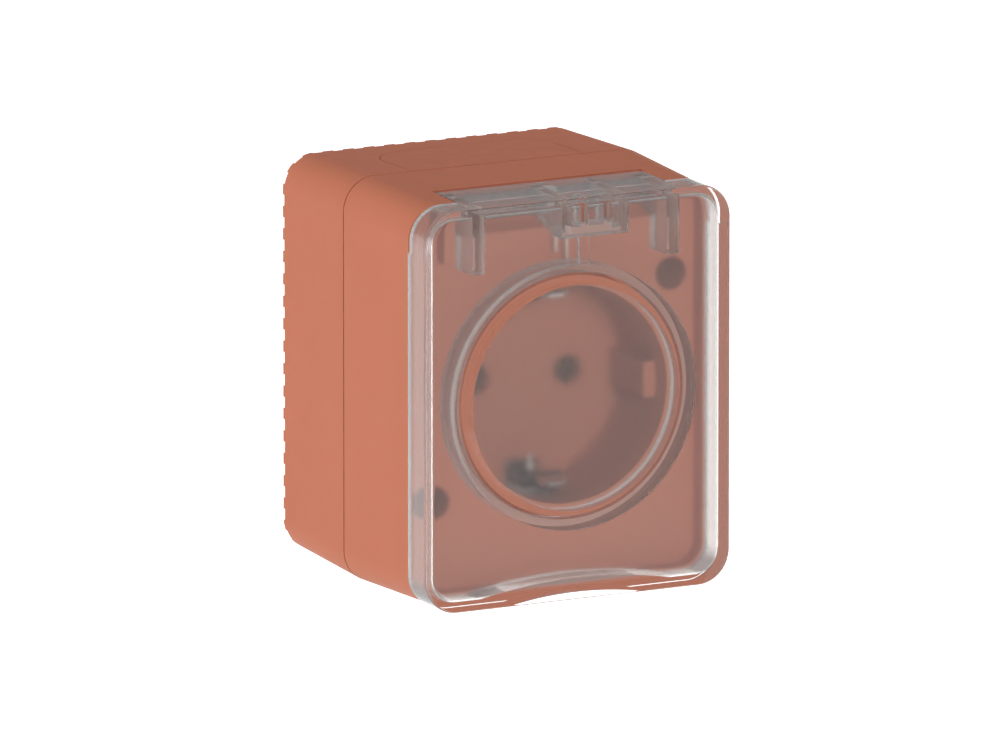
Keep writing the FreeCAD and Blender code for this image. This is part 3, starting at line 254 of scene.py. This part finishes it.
def rubber(name):
    material, tree, shader = new_material(name)
    shader.inputs["Base Color"].default_value = (*RUBBER_BLACK, 1)
    gloss = spread(tree, object_noise(tree, *RUBBER_GLOSS), RUBBER_SMOOTHEST, RUBBER_ROUGHEST)
    tree.links.new(gloss, shader.inputs["Roughness"])
    add_bump(tree, shader, object_noise(tree, *RUBBER_GRAIN), *RUBBER_BUMP)
    return material


# The lid's outer skin and the ring's end are polished, and its other faces are frosted
LID_LOW, LID_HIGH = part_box("lid")
LID_CORNER = 6.3 * MM
LID_WALL = 2.0 * MM
BOTTOM_WALL = 1.62 * MM
SKIN = 0.12 * MM
FRONT_SKIN = 4 * SKIN
RING_START = LID_LOW[1] + 1.75 * MM
RIB_START = LID_LOW[1] + 2.65 * MM
RING_END = LID_LOW[1] + 4.9 * MM
RING_INSIDE = 21.1 * MM
LID_IOR = 1.49
POLISH = 0.05
FROST = 0.25
FROST_SPREAD = 0.02
FROST_NOISE = (1800, 3)
CLEAR_TINT = (0.99, 0.985, 0.98)
FROST_TINT = (0.725, 0.70, 0.685)
# A dark tint on the lid's lower corners, a painted shade
CORNER_PAINTED_SHADE = (0.1, 0.088, 0.088)
HAZE = 0.058
HAZE_SPREAD = 0.022
HAZE_NOISE = (3600, 2)
HAZE_COLOUR = (0.9, 0.9, 0.9)
RIB_HAZE = 0.6
FAR_RIB_HAZE = 0.06
# The ribs' haze colour, darkened and browned as painted shade
RIB_PAINTED_SHADE = (0.54, 0.44, 0.41)


def lid_reach(tree):
    """How far a place on the lid lies past the start of the rounded corners, along X and Z."""
    corner_start = (LID_HIGH[0] - LID_CORNER, 0, -LID_LOW[2] - LID_CORNER)
    upright = vector_node(tree, "MULTIPLY", object_place(tree), (1, 0, 1))
    folded = vector_node(tree, "ABSOLUTE", upright.outputs["Vector"])
    beyond = vector_node(tree, "SUBTRACT", folded.outputs["Vector"], corner_start)
    return vector_node(tree, "MAXIMUM", beyond.outputs["Vector"]).outputs["Vector"]


def outer_walls(tree):
    """A mask of the lid's upright outer faces."""
    return calculate(tree, "GREATER_THAN", length_of(tree, lid_reach(tree)), LID_CORNER - SKIN)


def polished_faces(tree):
    """A mask of the outer walls, the front, the bottom wall, and the ring's end and inside."""
    place = object_place(tree)
    parts = split(tree, place)
    front = calculate(tree, "LESS_THAN", parts["Y"], LID_LOW[1] + FRONT_SKIN)
    bottom = calculate(tree, "LESS_THAN", parts["Z"], LID_LOW[2] + BOTTOM_WALL)
    from_end = calculate(tree, "ABSOLUTE", calculate(tree, "SUBTRACT", parts["Y"], RING_END))
    ring_end = calculate(tree, "LESS_THAN", from_end, SKIN / 2)
    upright = vector_node(tree, "MULTIPLY", place, (1, 0, 1))
    near_axis = calculate(tree, "LESS_THAN", length_of(tree, upright.outputs["Vector"]), RING_INSIDE)
    behind = calculate(tree, "GREATER_THAN", parts["Y"], RING_START)
    ring_inside = product(tree, near_axis, behind)
    return largest(tree, outer_walls(tree), front, bottom, ring_end, ring_inside)


def ribs_behind_panel(tree):
    """A mask of what stands on the panel's back, inside the walls."""
    within = calculate(tree, "LESS_THAN", length_of(tree, lid_reach(tree)), LID_CORNER - LID_WALL)
    deep = calculate(tree, "GREATER_THAN", split(tree, object_place(tree))["Y"], RIB_START)
    return product(tree, within, deep)


def painted_shade_corners(tree):
    """A mask of the outer walls round the two lower corners, which comes up along their curve, where the
    lid gets painted shade.
    """
    past = split(tree, lid_reach(tree))
    outward = spread(tree, past["X"], 0, 1, 0, LID_CORNER / 3)
    downward = spread(tree, past["Z"], 0, 1, 0, LID_CORNER / 2)
    lower = calculate(tree, "LESS_THAN", split(tree, object_place(tree))["Z"], 0)
    return product(tree, outer_walls(tree), outward, downward, lower)


def clear_plastic(name):
    """Clear lid plastic that lets the studio's light straight through to what lies behind it."""
    material, tree, shader = new_material(name)
    skin = polished_faces(tree)
    path = tree.nodes.new("ShaderNodeLightPath")
    shader.inputs["Transmission Weight"].default_value = 1.0
    shader.inputs["IOR"].default_value = LID_IOR
    tint = blend_colours(tree, skin, FROST_TINT, CLEAR_TINT)
    # The lower corners are darkened, a painted shade
    tint = blend_colours(tree, painted_shade_corners(tree), tint, CORNER_PAINTED_SHADE)
    tree.links.new(tint, shader.inputs["Base Color"])
    frosted = spread(tree, object_noise(tree, *FROST_NOISE), FROST - FROST_SPREAD, FROST + FROST_SPREAD)
    rough = tree.nodes.new("ShaderNodeMix")
    rough.inputs["B"].default_value = POLISH
    tree.links.new(skin, rough.inputs["Factor"])
    tree.links.new(frosted, rough.inputs["A"])
    tree.links.new(rough.outputs["Result"], shader.inputs["Roughness"])

    # Frosted faces scatter a little light, and ribs seen from inside the plastic more, the ribs' scatter
    # in a darker brownish colour that is painted shade
    side = tree.nodes.new("ShaderNodeNewGeometry")
    inside_rib = product(tree, ribs_behind_panel(tree), side.outputs["Backfacing"])
    haze = tree.nodes.new("ShaderNodeBsdfDiffuse")
    tree.links.new(blend_colours(tree, inside_rib, HAZE_COLOUR, RIB_PAINTED_SHADE), haze.inputs["Color"])
    first_rib = calculate(tree, "LESS_THAN", path.outputs["Transmission Depth"], ONE_CROSSING)
    rib_haze = spread(tree, first_rib, FAR_RIB_HAZE, RIB_HAZE, 0, 1)
    sand = spread(tree, object_noise(tree, *HAZE_NOISE), HAZE - HAZE_SPREAD, HAZE + HAZE_SPREAD)
    dull = largest(tree, product(tree, inside_rib, rib_haze), sand)
    unpolished = spread(tree, skin, 1, 0, 0, 1)
    seen = mix_shaders(tree, product(tree, dull, unpolished), shader.outputs["BSDF"], haze.outputs["BSDF"])

    # Rays between the lamps and what lies behind the lid pass straight
    lamp_path = largest(tree, path.outputs["Is Shadow Ray"], path.outputs["Diffuse Depth"])
    straight = tree.nodes.new("ShaderNodeBsdfTransparent")
    passes = calculate(tree, "GREATER_THAN", lamp_path, NO_BOUNCE)
    whole = mix_shaders(tree, passes, seen, straight.outputs["BSDF"])
    tree.links.new(whole, tree.nodes["Material Output"].inputs["Surface"])
    return material


ORANGE = (0.615, 0.212, 0.128)
ORANGE_SHADE = (0.60, 0.205, 0.122)
BASE_GRAY = (0.085, 0.085, 0.088)
BASE_SHADE = (0.075, 0.075, 0.078)
BRASS = (0.72, 0.52, 0.22)
PLATED = (0.80, 0.79, 0.77)
SCREW_STEEL = (0.50, 0.50, 0.50)
PIN_STEEL = (0.52, 0.52, 0.52)
SPRING_STEEL = (0.95, 0.95, 0.94)

# Painted shade for parts deep in the well: a darker colour, and where along Y it starts and is reached
WELL_PAINTED_SHADE = ((0.53, 0.192, 0.118), -52.5 * MM, -47 * MM)
STRIP_PAINTED_SHADE = ((0.24, 0.23, 0.225), -47.5 * MM, -45.5 * MM)

FINISHES = {
    "housing": moulded_plastic("housing_plastic", ORANGE, ORANGE_SHADE, 0.5),
    "cover": moulded_plastic("cover_plastic", ORANGE, ORANGE_SHADE, 0.45),
    # The cup's well is darkened with depth, a painted shade
    "cup": moulded_plastic("cup_plastic", ORANGE, ORANGE_SHADE, 0.4, WELL_PAINTED_SHADE),
    "gasket": rubber("gasket_rubber"),
    "base": moulded_plastic("base_plastic", BASE_GRAY, BASE_SHADE, 0.5),
    "brass": metal("contact_brass", BRASS, 0.3),
    # The earth strip is darkened deep in the well, a painted shade
    "plated_strip": metal("strip_metal", PLATED, 0.32, STRIP_PAINTED_SHADE),
    "screw_steel": metal("screw_metal", SCREW_STEEL, 0.35),
    "pin_steel": metal("pin_metal", PIN_STEEL, 0.25),
    "spring_steel": metal("spring_metal", SPRING_STEEL, 0.15, metallic=0.2),
    "clear_lid": clear_plastic("lid_plastic"),
}


def dress_nodes():
    for part in frame["record"]["subparts"]:
        node = NODES[part["node"]]
        finish = FINISHES[part["material_slot"]]
        if not node.material_slots:
            node.data.materials.append(finish)
        for slot in node.material_slots:
            slot.material = finish


MERGE_DISTANCE = 0.001 * MM
SMOOTH_ANGLE = math.radians(40)


def wind_spring():
    """A merged and smoothed copy of the spring, whose left leg rests on the housing and right leg on the
    lid, in place of the CAD part.
    """
    bpy.ops.object.select_all(action="DESELECT")
    wire = bpy.data.objects.new("spring_wire", NODES["lid_spring"].data.copy())
    bpy.context.scene.collection.objects.link(wire)
    wire.select_set(True)
    bpy.context.view_layer.objects.active = wire
    bpy.ops.object.mode_set(mode="EDIT")
    bpy.ops.mesh.select_all(action="SELECT")
    bpy.ops.mesh.remove_doubles(threshold=MERGE_DISTANCE)
    bpy.ops.object.mode_set(mode="OBJECT")
    bpy.ops.object.shade_smooth_by_angle(angle=SMOOTH_ANGLE)
    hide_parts("lid_spring")
    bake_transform(wire)


# Studio: a white backdrop low behind the object, and a room that is dimmer above than below
AMBIENT = 0.06
ROOM_BELOW = 0.62
ROOM_ABOVE = 0.3
ROOM_MIDDLE = 0.15
BACKDROP_START = 0.1
BACKDROP_FULL = 0.4
BACKDROP_HIGHEST = 0.02
BACKDROP_END = 0.14
# name, direction towards the lamp, level on a surface that faces it, edge in metres
SOFTBOXES = (
    ("left_softbox", (-0.95, 0.25, 0.10), 0.60, 0.5),
    ("top_softbox", (0.10, 0.35, 0.93), 0.28, 0.6),
    ("front_softbox", (-0.14, -0.96, 0.22), 0.50, 0.5),
    ("fill_softbox", (0.75, 0.55, 0.35), 0.35, 0.9),
)
LAMP_DISTANCE = 1.5


def paint_room():
    """White to the camera, backdrop and room in gloss and glass, and a faint even light on the rest."""
    world = bpy.data.worlds.new("studio")
    bpy.context.scene.world = world
    world.use_nodes = True
    tree = world.node_tree
    glow = tree.nodes["Background"]
    glow.inputs["Color"].default_value = (1, 1, 1, 1)
    path = tree.nodes.new("ShaderNodeLightPath")
    parts = split(tree, tree.nodes.new("ShaderNodeTexCoord").outputs["Generated"])
    behind = spread(tree, parts["Y"], 0, 1, BACKDROP_START, BACKDROP_FULL)
    low = spread(tree, parts["Z"], 1, 0, BACKDROP_HIGHEST, BACKDROP_END)
    room = spread(tree, parts["Z"], ROOM_BELOW, ROOM_ABOVE, -ROOM_MIDDLE, ROOM_MIDDLE)
    seen = largest(tree, product(tree, behind, low), path.outputs["Is Camera Ray"], room)
    not_lighting = calculate(tree, "LESS_THAN", path.outputs["Diffuse Depth"], NO_BOUNCE)
    tree.links.new(largest(tree, product(tree, seen, not_lighting), AMBIENT), glow.inputs["Strength"])


def hang_softboxes():
    for name, direction, level, edge in SOFTBOXES:
        lamp = bpy.data.lights.new(name, "AREA")
        lamp.size = edge
        lamp.energy = level * (math.pi * LAMP_DISTANCE) ** 2
        softbox = bpy.data.objects.new(name, lamp)
        towards = Vector(direction).normalized()
        softbox.location = LOOK_AT + towards * LAMP_DISTANCE
        softbox.rotation_euler = towards.to_track_quat("Z", "Y").to_euler()
        softbox.visible_glossy = False
        softbox.visible_transmission = False
        bpy.context.scene.collection.objects.link(softbox)


FLOOR_LEVEL = -0.25
FLOOR_SIZE = 12
FLOOR_FRONT = 0.6
FLOOR_GLOW = 0.9
FLOOR_PALE = (0.8, 0.8, 0.8)
FLOOR_ROUGHNESS = 0.9


def lay_floor():
    """A floor whose glow brings it up to white in the light, darker in the shadow, clear from below."""
    bpy.ops.object.select_all(action="DESELECT")
    middle = (0, FLOOR_SIZE / 2 - FLOOR_FRONT, FLOOR_LEVEL)
    bpy.ops.mesh.primitive_plane_add(size=FLOOR_SIZE, location=middle)
    floor = bpy.context.object
    floor.name = "floor"
    material, tree, shader = new_material("floor_white")
    shader.inputs["Base Color"].default_value = (*FLOOR_PALE, 1)
    shader.inputs["Roughness"].default_value = FLOOR_ROUGHNESS
    path = tree.nodes.new("ShaderNodeLightPath")
    white = tree.nodes.new("ShaderNodeEmission")
    not_lighting = calculate(tree, "LESS_THAN", path.outputs["Diffuse Depth"], NO_BOUNCE)
    tree.links.new(product(tree, not_lighting, FLOOR_GLOW), white.inputs["Strength"])
    glowing = tree.nodes.new("ShaderNodeAddShader")
    tree.links.new(shader.outputs["BSDF"], glowing.inputs[0])
    tree.links.new(white.outputs["Emission"], glowing.inputs[1])
    side = tree.nodes.new("ShaderNodeNewGeometry")
    clear = tree.nodes.new("ShaderNodeBsdfTransparent")
    whole = mix_shaders(tree, side.outputs["Backfacing"], glowing.outputs["Shader"], clear.outputs["BSDF"])
    tree.links.new(whole, tree.nodes["Material Output"].inputs["Surface"])
    floor.data.materials.append(material)


bpy.context.scene.view_settings.view_transform = "Standard"
place_camera()
dress_nodes()
wind_spring()
paint_room()
hang_softboxes()
lay_floor()
